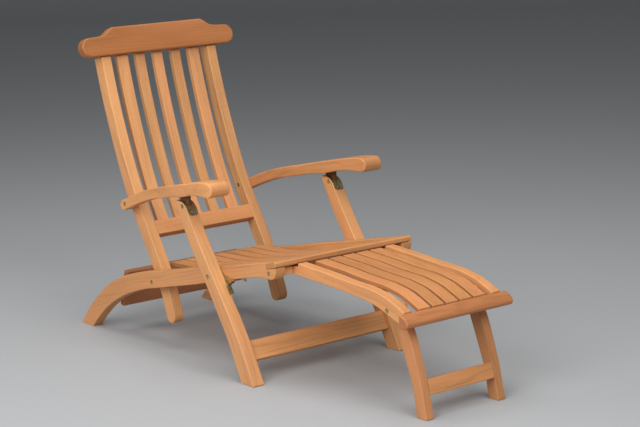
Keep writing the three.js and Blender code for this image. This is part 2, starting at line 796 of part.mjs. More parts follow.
function arm(side) {
  const noseStart = armLength - armNoseLength;
  const rearEnd = steps(-quarterTurn, 0, cornerSteps).slice(1, -1)
    .map((angle) => armEndRadius * Math.sin(angle) - armTail);
  const nose = steps(0, quarterTurn, cornerSteps + 2).slice(1, -1)
    .map((angle) => noseStart + armNoseLength * Math.sin(angle));
  const along = [...rearEnd, ...steps(-armTail, noseStart, armSteps), ...nose];
  const board = loft(along.map(armSection));
  const pin = at(-armPinRun, armPin.y - armPivot.y);
  const tongueTop = pin.y + armPinDrop + armLegGap + armThickness / 2;
  const tongueOutline = [
    ...arc(pin, tongueRadius, -halfTurn, 0, 2 * cornerSteps),
    at(pin.x + tongueTail, pin.y + armPinDrop), at(pin.x + tongueTail, tongueTop),
    at(pin.x - tongueRadius, tongueTop),
  ];
  const tongue = sheet(tongueOutline, tongueThickness).translate(0, 0, (legInner + legOuter) / 2);
  const inner = stileOuter + runningGap;
  const whole = drill(join(board, tongue), at(0, 0), inner, inner + armRearWidth, [1]);
  return side > 0 ? whole : mirrored(whole);
}

// The same piece for the other side of the chair.
function mirrored(geometry) {
  const copy = geometry.clone().scale(1, 1, -1);
  const index = Array.from(copy.index.array);
  for (let i = 0; i < index.length; i += 3) {
    [index[i], index[i + 1]] = [index[i + 1], index[i]];
  }
  copy.setIndex(index);
  copy.computeVertexNormals();
  return copy;
}

function buildArms() {
  const arms = new THREE.Group();
  arms.position.set(0, armPivot.x, armPivot.y);
  for (const [label, side] of sides) {
    addSidePiece(arms, `arm_${label}`, arm(side), 0);
  }
  return arms;
}

const restTopLine = through(restTopShares);
const restUnderLine = through(restUnderShares);

// Heights of the footrest rail's edges over its pivot, at a distance forward of it.
function restTop(forward) {
  return restTopLine(forward / restRun)[0] * restRise;
}

function restUnder(forward) {
  return restUnderLine(forward / restRun)[0] * restRise;
}

const restLegForward = restRun - restLegPivotSetback;
const restLegPin = at(-restLegForward, restUnder(restLegForward) + restLegPivotHeight);

function restRail(side) {
  const half = restRailThickness / 2;
  const top = steps(restRun, restShoulder, slatSteps).map((f) => at(-f, restTop(f)));
  const under = steps(restLugRadius, restRun, slatSteps).map((f) => at(-f, restUnder(f)));
  const lug = arc(at(0, 0), restLugRadius, quarterTurn, -quarterTurn, 2 * cornerSteps);
  const outline = [...top, at(-restShoulder, restLugRadius), ...lug, ...under];
  const geometry = drill(sawn(outline, restRailThickness), at(0, 0), -half, half, [-side]);
  return drill(geometry, restLegPin, -half, half, [side]);
}

function restSlat() {
  const top = steps(restRun - seamGap, restSlatStart, slatSteps).map((f) => at(-f, restTop(f)));
  const under = steps(restSlatStart, restRun - seamGap, slatSteps)
    .map((f) => at(-f, restTop(f) - restSlatThickness));
  return sawn([...top, ...under], restSlatWidth);
}

function endRail() {
  const start = restRun + seamGap;
  const outline = endRailShares
    .map(([x, y]) => at(-start - x * endRailDepth, restTop(restRun) + y * endRailHeight));
  return sawn(outline, endRailWidth);
}

function buildFootrest() {
  const rest = new THREE.Group();
  rest.position.set(0, restPivot.x, restPivot.y);
  for (const [label, side] of sides) {
    const x = (side * (restHalfWidth + restInner)) / 2;
    addSidePiece(rest, `footrest_rail_${label}`, restRail(side), x);
    addBolt(rest, `footrest_leg_bolt_${label}`, restLegPin, restLegInner, restHalfWidth, side);
  }
  for (let i = 0; i < restSlatCount; i += 1) {
    const x = (i - (restSlatCount - 1) / 2) * (restSlatWidth + restSlatGap);
    addSidePiece(rest, `footrest_slat_${i + 1}`, restSlat(), x);
  }
  addSidePiece(rest, 'footrest_end_rail', endRail(), 0, redTeak);
  const starts = { rear: restRearBearerStart, middle: restRun - restMiddleBearerSetback };
  for (const [which, start] of Object.entries(starts)) {
    const half = restBearerWidth / 2;
    const slope = Math.atan2(restTop(start + half) - restTop(start - half), restBearerWidth);
    const drop = restSlatThickness + runningGap + restBearerThickness / 2;
    const place = at(-start - drop * Math.sin(slope), restTop(start) - drop * Math.cos(slope));
    addCrossPiece(rest, `footrest_bearer_${which}`, place, -slope, restBearerWidth,
      restBearerThickness, 2 * (restInner - seamGap));
  }
  return rest;
}

const restLegLine = through(restLegShares);
const restLegTop = restPivot.y + restLegPin.y;
const restLegPlace = restPivot.clone().add(restLegPin);

function restLegEdge(height, edge) {
  const [run, depth] = restLegLine(height / restLegTop);
  const foot = restLegPlace.x - restLegRun;
  return at(foot + run * restLegRun + (edge * depth * restLegDepth) / 2, height);
}

function restLeg(side) {
  const half = restLegThickness / 2;
  const radius = restLegEdge(restLegTop, 1).x - restLegPlace.x;
  const outline = [
    ...steps(0, restLegTop, legSteps).slice(0, -1).map((height) => restLegEdge(height, 1)),
    ...arc(restLegPlace, radius, 0, halfTurn, 2 * cornerSteps),
    ...steps(restLegTop, 0, legSteps).slice(1).map((height) => restLegEdge(height, -1)),
  ];
  return drill(sawn(outline, restLegThickness), restLegPlace, -half, half, [-side]);
}

function buildFootrestLegs() {
  const legs = new THREE.Group();
  for (const [label, side] of sides) {
    const x = (side * (restLegInner + restLegOuter)) / 2;
    addSidePiece(legs, `footrest_leg_${label}`, restLeg(side), x);
  }
  const front = restLegEdge(restStretcherCentre, -1);
  const above = restLegEdge(restStretcherCentre + restStretcherHeight / 2, -1);
  const lean = Math.atan2(above.x - front.x, above.y - front.y);
  const inward = restStretcherThickness / 2;
  const place = at(front.x + inward * Math.cos(lean), front.y - inward * Math.sin(lean));
  addCrossPiece(legs, 'footrest_leg_stretcher', place, -lean, restStretcherThickness,
    restStretcherHeight, 2 * (restLegInner - seamGap));
  return legs;
}

const chair = new THREE.Group();
chair.add(buildSeat(), buildBack(), buildArms(), buildFrontLegs(), buildFootrest());
chair.add(buildFootrestLegs());

export default chair;
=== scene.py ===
"""A folding steamer deck chair in oiled teak and brass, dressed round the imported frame."""

import json
import math
import random

import bmesh
import bpy
import numpy as np
from mathutils import Matrix, Vector


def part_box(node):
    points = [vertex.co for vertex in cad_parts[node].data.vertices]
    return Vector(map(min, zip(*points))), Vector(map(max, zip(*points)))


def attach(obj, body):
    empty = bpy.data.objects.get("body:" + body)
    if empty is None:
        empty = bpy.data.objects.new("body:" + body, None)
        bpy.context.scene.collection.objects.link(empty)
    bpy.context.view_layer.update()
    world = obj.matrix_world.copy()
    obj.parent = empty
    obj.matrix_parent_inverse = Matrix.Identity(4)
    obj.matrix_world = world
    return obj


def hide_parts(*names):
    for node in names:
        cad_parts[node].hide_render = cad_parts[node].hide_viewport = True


# Places and sizes are in metres, angles in degrees.
CAMERA_PLACE = Vector((-3.4525, -4.449, 1.5839))
CAMERA_YAW = 38.8207
CAMERA_PITCH = 11.4853
CAMERA_ROLL = -1.3794
SENSOR_WIDTH = 36
LENS = 106.55
CAMERA_REACH = 60

# How near vertices count as one, or as lying on one level.
WELD = 1e-5
LEVEL_WELD = 5 * WELD
FINE_WELD = WELD / 5

# The solids' own small sizes, which the fine pieces keep.
CAD_EASE = 0.002
HEAD_EASE = 0.004
SEAT_RADIUS = 0.00735
SEAT_DEPTH = 0.0028
HEAD_RADIUS = 0.00675
HEAD_HEIGHT = 0.0025
SHANK_RADIUS = 0.004
SLOT_WIDTH = 0.0016
SLOT_DEPTH = 0.0011
OVERRUN = 0.004

# How outlines are refined and edges are rounded.
ARRIS_STEPS = 4
FLOW_PARTS = 4
FLOW_ANGLE = 25
EVEN_RATIO = 2.5
CORNER_STEPS = 4
CORNER_SHARE = 0.45
ROOM_SHARE = 0.9
STRAIGHT_ANGLE = 0.004
OUTLINE_CORNER = 1.25
RAIL_CORNER = 0.5
BOARD_SHARP = 35
TURNED_SHARP = 30
FACE_WEIGHT = 90

# How far the edges of each kind of board are rounded.
SIDE_RADII = {
    "side_rail": 0.0026, "stile": 0.003, "front_leg": 0.0028, "footrest_rail": 0.003,
    "footrest_leg": 0.0026,
}
SLAT_RADIUS = 0.0018
BACK_SLAT_RADIUS = 0.002
BATTEN_RADIUS = 0.002
CROSS_RAIL_RADIUS = 0.0022
NOSING_RADIUS = 0.0045
HEAD_RAIL_RADIUS = 0.0055
SEAT_SLATS = 7
LONG_SLATS = 5
BATTENS = (
    "seat_bearer_rear", "seat_bearer_middle", "seat_bearer_front", "footrest_bearer_rear",
    "footrest_bearer_middle", "hinge_block_left", "hinge_block_right",
)
CROSS_RAILS = (
    "rear_board_upper", "rear_board_lower", "back_lower_rail", "front_leg_stretcher",
    "footrest_leg_stretcher",
)

# Arms and the tongues under them.
ARM_TAIL = 0.009
ARM_END_RADIUS = 0.017
ARM_NOSE_LENGTH = 0.024
ARM_NOSE_TURN = 77
ARM_END_TURN = 88
ARM_NOSE_TRIM = 0.06
ARM_TOP_CORNER = 0.0045
ARM_UNDER_CORNER = 0.0035
ARM_CORNER_SHARE = 0.48
ARM_END_STEPS = 8
ARM_PARTS = 3
ARM_SHARP = 40
SECTION_POINTS = 12
TONGUE_THICKNESS = 0.01
TONGUE_RADIUS = 0.011
TONGUE_TAIL = 0.033
TONGUE_GAP = 0.0008
TONGUE_EASE = 0.001
TONGUE_RISE = 0.035
TONGUE_COVER = 0.03
TONGUE_STEPS = 16
FORK_DEPTH = 0.028
PIN_DROP = 0.0124

# Brass.
HEAD_CROWN = 0.0003
HEAD_FLAT_SHARE = 0.5
HEAD_SLOPE_SHARE = 0.86
STRAP_CORNER = 0.011
STRAP_ROWS = 60
STRAP_COLUMNS = 16
STRAP_SCREW_RADIUS = 0.0044
STRAP_SCREW_HEIGHT = 0.0012
STRAP_SCREW_RISE = 0.0105
# The screw's rounded face, as shares of its height and radius.
STRAP_SCREW_FACE = ((0, 1), (0.55, 0.82), (0.9, 0.45), (1, 0))
STRAP_SCREW_LEAN = 0.6
SCREW_SLOT_HALF = 0.0005
SCREW_SLOT_FLOOR = 0.1
SCREW_SLOT_REACH = 0.62
BRASS_EDGE = 0.0005
BRASS_EDGE_ANGLE = 40
STOP_EDGE_ANGLE = 30
LINE_PASSES = 12
SHORT_EDGES = 6
FINGER_SHEET = 0.0022
FINGER_WIDTH = 0.009
FINGER_PAST = 0.009
FINGER_DROP = 0.004
FINGER_ROOT = 0.002
FINGER_BEND = 3 * FINGER_SHEET
FINGER_STEPS = 6
FINGER_EDGE_ANGLE = 60

X_AXIS = Vector((1, 0, 0))
Z_AXIS = Vector((0, 0, 1))
SIDES = {"left": 1, "right": -1}

random.seed(11)
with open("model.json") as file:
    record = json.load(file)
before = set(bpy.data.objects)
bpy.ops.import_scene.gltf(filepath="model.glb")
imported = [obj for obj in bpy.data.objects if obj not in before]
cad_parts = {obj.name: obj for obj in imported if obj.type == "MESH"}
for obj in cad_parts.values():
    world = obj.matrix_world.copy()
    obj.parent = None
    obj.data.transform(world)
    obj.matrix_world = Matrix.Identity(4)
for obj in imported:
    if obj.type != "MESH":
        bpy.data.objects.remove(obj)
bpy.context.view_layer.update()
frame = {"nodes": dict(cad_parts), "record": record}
bodies = frame["record"]["behaviour"]["bodies"]
body_of = {node: body for body, nodes in bodies.items() for node in nodes}
slot_of = {entry["node"]: entry["material_slot"] for entry in frame["record"]["subparts"]}


def make_camera():
    yaw, pitch, roll = (math.radians(a) for a in (CAMERA_YAW, CAMERA_PITCH, CAMERA_ROLL))
    flat = Vector((math.sin(yaw), math.cos(yaw), 0))
    ahead = math.cos(pitch) * flat - math.sin(pitch) * Z_AXIS
    level = Vector((math.cos(yaw), -math.sin(yaw), 0))
    upright = level.cross(ahead)
    right = math.cos(roll) * level + math.sin(roll) * upright
    up = -math.sin(roll) * level + math.cos(roll) * upright
    data = bpy.data.cameras.new("camera")
    data.sensor_width = SENSOR_WIDTH
    data.lens = LENS
    data.clip_end = CAMERA_REACH
    camera = bpy.data.objects.new("camera", data)
    bpy.context.scene.collection.objects.link(camera)
    turn = Matrix((right, up, -ahead)).transposed().to_4x4()
    camera.matrix_world = Matrix.Translation(CAMERA_PLACE) @ turn
    bpy.context.scene.camera = camera


class Graph:
    """A material's node tree, with short calls to add and join its nodes."""

    def __init__(self, name):
        self.material = bpy.data.materials.new(name)
        self.material.use_nodes = True
        self.tree = self.material.node_tree
        self.shader = self.tree.nodes["Principled BSDF"]

    def add(self, kind, inputs=None, **settings):
        node = self.tree.nodes.new("ShaderNode" + kind)
        for key, value in settings.items():
            setattr(node, key, value)
        for key, value in (inputs or {}).items():
            self.put(value, node.inputs[key])
        return node

    def put(self, value, socket):
        if isinstance(value, bpy.types.NodeSocket):
            self.tree.links.new(value, socket)
        else:
            socket.default_value = value

    def math(self, operation, first, second=0.0, clamp=False):
        node = self.add("Math", {0: first, 1: second}, operation=operation, use_clamp=clamp)
        return node.outputs[0]

    def span(self, value, low, high, start=0.0, end=1.0):
        inputs = {"Value": value, "From Min": low, "From Max": high, "To Min": start, "To Max": end}
        return self.add("MapRange", inputs).outputs[0]

    def noise(self, vector, scale, stretch=(1, 1, 1), detail=3.0, roughness=0.5):
        scaled = self.add("Mapping", {"Vector": vector, "Scale": stretch}).outputs[0]
        inputs = {"Vector": scaled, "Scale": scale, "Detail": detail, "Roughness": roughness}
        return self.add("TexNoise", inputs).outputs["Fac"]

    def ramp(self, value, stops):
        node = self.add("ValToRGB", {"Fac": value})
        while len(node.color_ramp.elements) < len(stops):
            node.color_ramp.elements.new(0.5)
        for element, (place, color) in zip(node.color_ramp.elements, stops):
            element.position = place
            element.color = (*color, 1)
        return node.outputs["Color"]

    def mix(self, factor, first, second, blend="MIX"):
        node = self.add("Mix", data_type="RGBA", blend_type=blend)
        self.put(factor, node.inputs[0])
        for value, socket in ((first, node.inputs[6]), (second, node.inputs[7])):
            self.put(value if isinstance(value, bpy.types.NodeSocket) else (*value, 1), socket)
        return node.outputs[2]


def shade(color, factor):
    return tuple(min(channel * factor, 1) for channel in color)


# Light teak of the frame and slats, the redder head rail, and the boards that differ from both.
TEAK = (0.60, 0.27, 0.098)
RED_TEAK = (0.36, 0.13, 0.037)
PALE_TEAK = (0.60, 0.29, 0.112)
TINTS = {
    "stile": PALE_TEAK, "back_slat": PALE_TEAK,
    "front_leg_left": (0.68, 0.33, 0.125), "front_leg_right": (0.68, 0.33, 0.125),
    "front_leg_stretcher": (0.68, 0.31, 0.115),
    # The far (left) arm is tinted darker than the near (right) one: partly its own darker wood,
    # partly painted shade from the back slats.
    "arm_left": (0.54, 0.24, 0.088), "arm_right": (0.65, 0.30, 0.107),
    "footrest_slat": (0.54, 0.227, 0.076), "footrest_leg": (0.45, 0.195, 0.07),
    "footrest_leg_stretcher": (0.58, 0.25, 0.09),
    "footrest_end_rail": (0.45, 0.17, 0.058), "rear_board": (0.34, 0.13, 0.05),
}
TINT_RANGE = (0.93, 1.07)
# The tongue's teak is darkened this far to paint the shade it sits in under the arm.
TONGUE_SHADE = 0.2
TEAK_ROUGHNESS = 0.5
TEAK_GLOSS = 0.38
# How much painted shade darkens the faces between slats, where the neighbouring slats keep the
# light off, by kind of piece.
FLANK_SHADES = {"seat_slat": 0.5, "footrest_slat": 0.35, "back_slat": 0.15}

# How fine each pattern is along the grain and twice across it.
WARP_GRAIN = (2.2, 14, 14)
HEART_GRAIN = (0.035, 1, 1)
STREAK_GRAIN = (7, 260, 260)
PATCH_GRAIN = (2.6, 15, 15)
PORE_GRAIN = (55, 1500, 1500)
BLUSH_GRAIN = (1.7, 9, 9)
LOG_TURN = 0.5
LOG_REACH = 3
RING_WIDTHS = (0.009, 0.013)
RING_WAVE = 0.05
RING_WEIGHT = -0.16
STREAK_WEIGHT = 0.62
PATCH_WEIGHT = 0.95
MIDDLE_TONE = 0.5
# From where to where in a pattern a mark sets in.
LATE_WOOD = (0.55, 0.92)
RING_END = (0.93, 1.0)
PORES = (0.6, 0.72)
BLUSHES = (0.42, 0.68)
END_GRAIN = (0.72, 0.95)
STREAKS = (0.3, 0.7)
TEAK_ROUGH = (TEAK_ROUGHNESS - 0.07, TEAK_ROUGHNESS + 0.09)
TEAK_BUMP = {"Strength": 0.3, "Distance": 0.0004}
PORE_HOLLOW = 0.6
TONES = ((0.12, 0.66), (0.38, 0.88), (0.55, 1), (0.85, 1.14))
BLUSH = (0.66, 0.255, 0.115)
# How strongly a mark covers the wood, and its own depth beside the tint.
BLUSH_COVER = 0.3
PORE_COVER, PORE_DEPTH = 0.3, 0.42
END_GRAIN_COVER, END_GRAIN_DEPTH = 0.3, 0.5
# The rounded edges are lightened: partly wear, partly a painted highlight.
ARRIS_COVER, ARRIS_DEPTH = 0.04, 1.35
# How dark the painted shade on the faces between slats is, beside the tint.
FLANK_SHADE_DEPTH = 0.3


def teak(name, grain, tint, flank_shade_cover):
    """Teak whose grain runs along a direction, placed afresh in the log for each piece, with
    painted shade on the faces between slats and rounded edges lightened partly as wear, partly as a
    painted highlight.
    """
    graph = Graph(name)
    across = grain.cross(X_AXIS if abs(grain.x) < 0.9 else Z_AXIS).normalized()
    roll = Matrix.Rotation(random.uniform(-LOG_TURN, LOG_TURN), 3, "X")
    turn = roll @ Matrix((grain, across, grain.cross(across)))
    place = [random.uniform(-LOG_REACH, LOG_REACH) for _ in range(3)]
    coordinates = graph.add("TexCoord")
    along = graph.add("Mapping", {
        "Vector": coordinates.outputs["Object"], "Rotation": turn.to_euler(), "Location": place,
    }).outputs[0]

    rings = growth_rings(graph, along)
    streaks = graph.noise(along, 1.0, STREAK_GRAIN, detail=4.0, roughness=0.62)
    patches = graph.noise(along, 1.0, PATCH_GRAIN, detail=2.0)
    pore = graph.span(graph.noise(along, 1.0, PORE_GRAIN, detail=1.0), *PORES)
    tone = graph.math("MULTIPLY_ADD", rings, RING_WEIGHT)
    tone.node.inputs[2].default_value = MIDDLE_TONE
    for value, weight in ((streaks, STREAK_WEIGHT), (patches, PATCH_WEIGHT)):
        centred = graph.math("SUBTRACT", value, 0.5)
        tone = graph.math("ADD", tone, graph.math("MULTIPLY", centred, weight))
    color = graph.ramp(tone, [(level, shade(tint, depth)) for level, depth in TONES])
    blush = graph.noise(along, 1.0, BLUSH_GRAIN, detail=1.0)
    color = graph.mix(graph.span(blush, *BLUSHES, 0.0, BLUSH_COVER), color, BLUSH)

    facing = graph.add("VectorMath", {0: coordinates.outputs["Normal"], 1: grain},
                       operation="DOT_PRODUCT").outputs["Value"]
    end_grain = graph.span(graph.math("ABSOLUTE", facing), *END_GRAIN)
    # Rounded edges are lightened, partly as wear and partly as a painted highlight; the faces
    # between slats are darkened with painted shade.
    arris = graph.add("Attribute", attribute_name="arris").outputs["Fac"]
    flank_shade = graph.add("Attribute", attribute_name="flank_shade").outputs["Fac"]
    for mark, cover, depth in (
            (pore, PORE_COVER, PORE_DEPTH), (end_grain, END_GRAIN_COVER, END_GRAIN_DEPTH),
            (arris, ARRIS_COVER, ARRIS_DEPTH), (flank_shade, flank_shade_cover, FLANK_SHADE_DEPTH)):
        color = graph.mix(graph.math("MULTIPLY", mark, cover), color, shade(tint, depth))
    graph.put(color, graph.shader.inputs["Base Color"])
    graph.shader.inputs["Specular IOR Level"].default_value = TEAK_GLOSS

    rough = graph.span(streaks, *STREAKS, *TEAK_ROUGH)
    graph.put(rough, graph.shader.inputs["Roughness"])
    height = graph.math("SUBTRACT", streaks, graph.math("MULTIPLY", pore, PORE_HOLLOW))
    bump = graph.add("Bump", {**TEAK_BUMP, "Height": height})
    graph.put(bump.outputs["Normal"], graph.shader.inputs["Normal"])
    return graph.material


def growth_rings(graph, along):
    """The dark late wood of each year's ring round the log's heart."""
    warp = graph.noise(along, 1.0, WARP_GRAIN, detail=2.0)
    heart = graph.add("Mapping", {"Vector": along, "Scale": HEART_GRAIN}).outputs[0]
    reach = graph.add("VectorMath", {0: heart}, operation="LENGTH").outputs["Value"]
    bent = graph.math("ADD", reach, graph.math("MULTIPLY", warp, RING_WAVE))
    ring = graph.math("FRACT", graph.math("DIVIDE", bent, random.uniform(*RING_WIDTHS)))
    late = graph.span(ring, *LATE_WOOD)
    return graph.math("MULTIPLY", late, graph.span(ring, *RING_END, 1.0, 0.0))


BRIGHT_BRASS = (0.66, 0.56, 0.3)
DULL_BRASS = (0.33, 0.27, 0.13)
BRIGHT_EDGE = 1.2
BRIGHT_EDGE_COVER = 0.5
SPOT_DEPTH = 0.6
SPOT_COVER = 0.5
CLOUD_SCALE = 70
SPOT_SCALE = 420
RUB_GRAIN = (90, 90, 1400)
CLOUDS = (0.35, 0.65)
SPOTS = (0.58, 0.7)
SHEEN = (0.3, 0.7, 0.52, 0.3)
BRASS_BUMP = {"Strength": 0.25, "Distance": 0.0002}


def brass():
    """Rolled brass sheet and turned heads that have gone dull outdoors."""
    graph = Graph("aged_brass")
    place = graph.add("TexCoord").outputs["Object"]
    cloud = graph.noise(place, CLOUD_SCALE, detail=3.0, roughness=0.6)
    spots = graph.noise(place, SPOT_SCALE, detail=2.0)
    rub = graph.noise(place, 1.0, RUB_GRAIN, detail=2.0)
    color = graph.mix(graph.span(cloud, *CLOUDS), DULL_BRASS, BRIGHT_BRASS)
    spotted = graph.span(spots, *SPOTS, 0.0, SPOT_COVER)
    color = graph.mix(spotted, color, shade(DULL_BRASS, SPOT_DEPTH))
    arris = graph.add("Attribute", attribute_name="arris").outputs["Fac"]
    edge = graph.math("MULTIPLY", arris, BRIGHT_EDGE_COVER)
    color = graph.mix(edge, color, shade(BRIGHT_BRASS, BRIGHT_EDGE))
    graph.put(color, graph.shader.inputs["Base Color"])
    graph.shader.inputs["Metallic"].default_value = 1.0
    graph.put(graph.span(cloud, *SHEEN), graph.shader.inputs["Roughness"])
    bump = graph.add("Bump", {**BRASS_BUMP, "Height": rub})
    graph.put(bump.outputs["Normal"], graph.shader.inputs["Normal"])
    return graph.material


brass_look = brass()


def grain_of(node):
    """The direction in which a node is longest, which its grain follows."""
    points = np.array([v.co for v in frame["nodes"][node].data.vertices])
    _, _, directions = np.linalg.svd(points - points.mean(0), full_matrices=False)
    return Vector(directions[0]).normalized()


def look_of(node, name, depth=1.0):
    """Brass, or teak of the node's own tint, lighter or darker by chance, darker still by a depth
    that paints shade, and with painted shade on the faces between slats.
    """
    slot = slot_of[node]
    if slot == "brass":
        return brass_look
    tint = RED_TEAK if slot == "red_teak" else TEAK
    for start, special in TINTS.items():
        if node.startswith(start):
            tint = special
    # How much painted shade darkens this piece's faces between slats.
    cover = next((share for start, share in FLANK_SHADES.items() if node.startswith(start)), 0)
    return teak(name, grain_of(node), shade(tint, depth * random.uniform(*TINT_RANGE)), cover)


def to_piece(mesh, name, node, sharp=BOARD_SHARP, stands_for=True, depth=1.0):
    """Turns a bmesh into a finished piece that rides with a node's body and stands for the node;
    depth darkens its teak to paint shade.
    """
    data = bpy.data.meshes.new(name)
    bmesh.ops.recalc_face_normals(mesh, faces=mesh.faces)
    mesh.to_mesh(data)
    mesh.free()
    piece = bpy.data.objects.new(name, data)
    bpy.context.scene.collection.objects.link(piece)
    data.materials.append(look_of(node, name, depth))
    smooth(piece, sharp)
    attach(piece, body_of[node])
    if stands_for:
        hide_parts(node)
    return piece


def smooth(piece, sharp):
    piece.data.shade_smooth()
    piece.data.set_sharp_from_angle(angle=math.radians(sharp))
    if not piece.modifiers:
        weighted = piece.modifiers.new("weighted", "WEIGHTED_NORMAL")
        weighted.keep_sharp = True
        weighted.weight = FACE_WEIGHT


def carve(piece, cutters, sharp=BOARD_SHARP):
    """Cuts closed meshes out of a piece."""
    piece.modifiers.clear()
    tools = []
    for cutter in cutters:
        data = bpy.data.meshes.new("cutter")
        bmesh.ops.recalc_face_normals(cutter, faces=cutter.faces)
        cutter.to_mesh(data)
        cutter.free()
        tool = bpy.data.objects.new("cutter", data)
        bpy.context.scene.collection.objects.link(tool)
        step = piece.modifiers.new("cut", "BOOLEAN")
        step.operation = "DIFFERENCE"
        step.solver = "EXACT"
        step.object = tool
        tools.append(tool)
    graph = bpy.context.evaluated_depsgraph_get()
    carved = bpy.data.meshes.new_from_object(piece.evaluated_get(graph))
    piece.modifiers.clear()
    old = piece.data
    piece.data = carved
    carved.name = piece.name
    bpy.data.meshes.remove(old)
    for tool in tools:
        bpy.data.objects.remove(tool)
    smooth(piece, sharp)


def box_mesh(low, high):
    mesh = bmesh.new()
    bmesh.ops.create_cube(mesh, size=1)
    for vertex in mesh.verts:
        vertex.co = Vector(a + (t + 0.5) * (b - a) for a, b, t in zip(low, high, vertex.co))
    return mesh


def bridge(mesh, rings):
    """Joins closed rings of vertices with faces, each ring to the next."""
    for one, two in zip(rings, rings[1:]):
        for i in range(len(one)):
            j = (i + 1) % len(one)
            mesh.faces.new((one[i], one[j], two[j], two[i]))


def turned(profile, sides=40):
    """A round solid about the X axis from (x, radius) rows, of which the ends lie on the axis."""
    mesh = bmesh.new()
    rings = []
    for x, radius in profile:
        if radius == 0:
            rings.append([mesh.verts.new((x, 0, 0))])
            continue
        angles = [2 * math.pi * i / sides for i in range(sides)]
        circle = [(x, radius * math.cos(angle), radius * math.sin(angle)) for angle in angles]
        rings.append([mesh.verts.new(point) for point in circle])
    for one, two in zip(rings, rings[1:]):
        for i in range(sides):
            here, there = (i % len(one), (i + 1) % len(one)), (i % len(two), (i + 1) % len(two))
            corners = [one[here[0]], one[here[1]], two[there[1]], two[there[0]]]
            mesh.faces.new(list(dict.fromkeys(corners)))
    return mesh


def welded(node):
    mesh = bmesh.new()
    mesh.from_mesh(frame["nodes"][node].data)
    bmesh.ops.remove_doubles(mesh, verts=mesh.verts, dist=WELD)
    return mesh


def plane_axes(normal):
    """Two axes across a normal, the second as upright as can be."""
    up = (Z_AXIS - Z_AXIS.dot(normal) * normal).normalized()
    return up.cross(normal), up


def loop_at(mesh, normal, level):
    """The longest closed line of a mesh's edges at a level along a normal, as (u, v) points."""
    def on_level(item):
        return all(abs(v.co.dot(normal) - level) < LEVEL_WELD for v in item.verts)

    beside = {}
    for edge in mesh.edges:
        if on_level(edge) and not all(on_level(face) for face in edge.link_faces):
            one, two = edge.verts
            beside.setdefault(one, []).append(two)
            beside.setdefault(two, []).append(one)
    across, up = plane_axes(normal)
    loops = []
    while beside:
        start = next(iter(beside))
        line = [start]
        here = start
        while here in beside:
            ways = [v for v in beside.pop(here) if v in beside]
            if not ways:
                break
            here = ways[0]
            line.append(here)
        loops.append([Vector((v.co.dot(across), v.co.dot(up))) for v in line])
    longest = max(loops, key=perimeter)
    return longest if area(longest) > 0 else longest[::-1]


def perimeter(points):
    return sum((a - b).length for a, b in zip(points, points[1:] + points[:1]))


def area(points):
    return sum(a.x * b.y - a.y * b.x for a, b in zip(points, points[1:] + points[:1])) / 2


def flowing(points, corner):
    """A closed outline with its curves drawn fine and its corners rounded."""
    count = len(points)
    ways = [(points[(i + 1) % count] - points[i]) for i in range(count)]
    lengths = [way.length for way in ways]
    units = [way.normalized() for way in ways]
    turns = [abs(units[i - 1].angle_signed(units[i])) for i in range(count)]
    bent = [turn > math.radians(FLOW_ANGLE) for turn in turns]
    cuts = []
    for i in range(count):
        most = CORNER_SHARE * min(lengths[i - 1], lengths[i])
        cuts.append(min(corner * math.tan(turns[i] / 2), most))
    line = []
    for i in range(count):
        j = (i + 1) % count
        start, end = points[i], points[j]
        if bent[i]:
            cut = cuts[i]
            start = points[i] + units[i] * cut
            line.extend(rounded(points[i] - units[i - 1] * cut, points[i], start))
        else:
            line.append(points[i])
        if bent[j]:
            end = points[j] - units[i] * cuts[j]
        here = tangent(units, lengths, bent, i, i)
        there = tangent(units, lengths, bent, j, i)
        if max(here.angle(units[i]), there.angle(units[i])) < STRAIGHT_ANGLE:
            continue
        reach = (end - start).length
        for step in range(1, FLOW_PARTS):
            line.append(hermite(start, end, here * reach, there * reach, step / FLOW_PARTS))
    return line


def rounded(start, corner, end):
    """The points of a round corner between two points as far from it, both ends included."""
    ahead, after = (corner - start).normalized(), (end - corner).normalized()
    turn = after.angle_signed(ahead)
    side = Vector((-ahead.y, ahead.x)) * math.copysign(1, turn)
    radius = (corner - start).length / math.tan(abs(turn) / 2)
    angles = [abs(turn) * step / CORNER_STEPS for step in range(CORNER_STEPS + 1)]
    return [start + radius * (math.sin(a) * ahead + (1 - math.cos(a)) * side) for a in angles]


def tangent(units, lengths, bent, vertex, segment):
    """The direction of a smooth curve at a vertex, for one of the two segments that meet there."""
    before, after = (vertex - 1) % len(units), vertex
    ratio = lengths[before] / lengths[after]
    if bent[vertex] or not 1 / EVEN_RATIO < ratio < EVEN_RATIO:
        return units[segment]
    return (units[before] * lengths[after] + units[after] * lengths[before]).normalized()


def hermite(start, end, leave, arrive, t):
    return ((2 * t ** 3 - 3 * t * t + 1) * start + (t ** 3 - 2 * t * t + t) * leave
            + (3 * t * t - 2 * t ** 3) * end + (t ** 3 - t * t) * arrive)


def room(points):
    """How far each point of a closed outline can be drawn in before edges beside it fold over."""
    count = len(points)
    ways = [points[(i + 1) % count] - points[i] for i in range(count)]
    bends = [math.tan(-ways[i - 1].angle_signed(ways[i]) / 2) for i in range(count)]
    limits = []
    for i in range(count):
        closing = bends[i] + bends[(i + 1) % count]
        limits.append(ROOM_SHARE * ways[i].length / closing if closing > 0 else math.inf)
    beside = (-2, -1, 0, 1)
    return [min(limits[(i + step) % count] for step in beside) for i in range(count)]


def inset(points, distance, limits=None):
    """A closed outline drawn in by a distance, or by less where its points lack the room."""
    count = len(points)
    moved = []
    for i, point in enumerate(points):
        before = (point - points[i - 1]).normalized()
        after = (points[(i + 1) % count] - point).normalized()
        one, two = Vector((-before.y, before.x)), Vector((-after.y, after.x))
        reach = distance if limits is None else limits[i] * distance
        moved.append(point + (one + two) * reach / (1 + one.dot(two)))
    return moved


